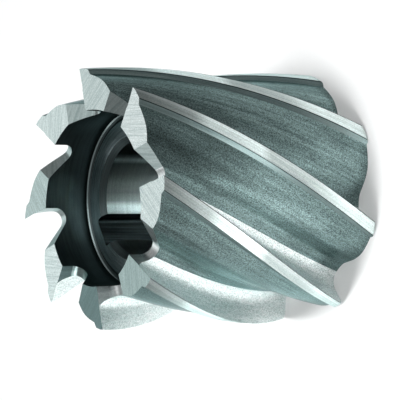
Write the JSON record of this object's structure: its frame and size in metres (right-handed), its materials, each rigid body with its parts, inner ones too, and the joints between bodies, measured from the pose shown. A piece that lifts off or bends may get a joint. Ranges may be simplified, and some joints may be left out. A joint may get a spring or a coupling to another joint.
{
  "type": "shell end mill",
  "caption": "Short hollow milling cutter with right-hand helical teeth, cutting teeth with chip gashes on its front end, a keyed bore and a recess for the retaining screw.",
  "frame": {"origin": "centre of the bore in the flat rear face, on which the cutter stands", "axes": "+Z along the bore from the rear face to the cutting end, -X from the axis to the keyway"},
  "size_m": [0.05, 0.05, 0.05],
  "materials": {
    "ground_steel": "hardened tool steel, ground bright, with fine grinding lines"
  },
  "bodies": {
    "root": {"shell_end_mill": "ground_steel"}
  },
  "joints": []
}
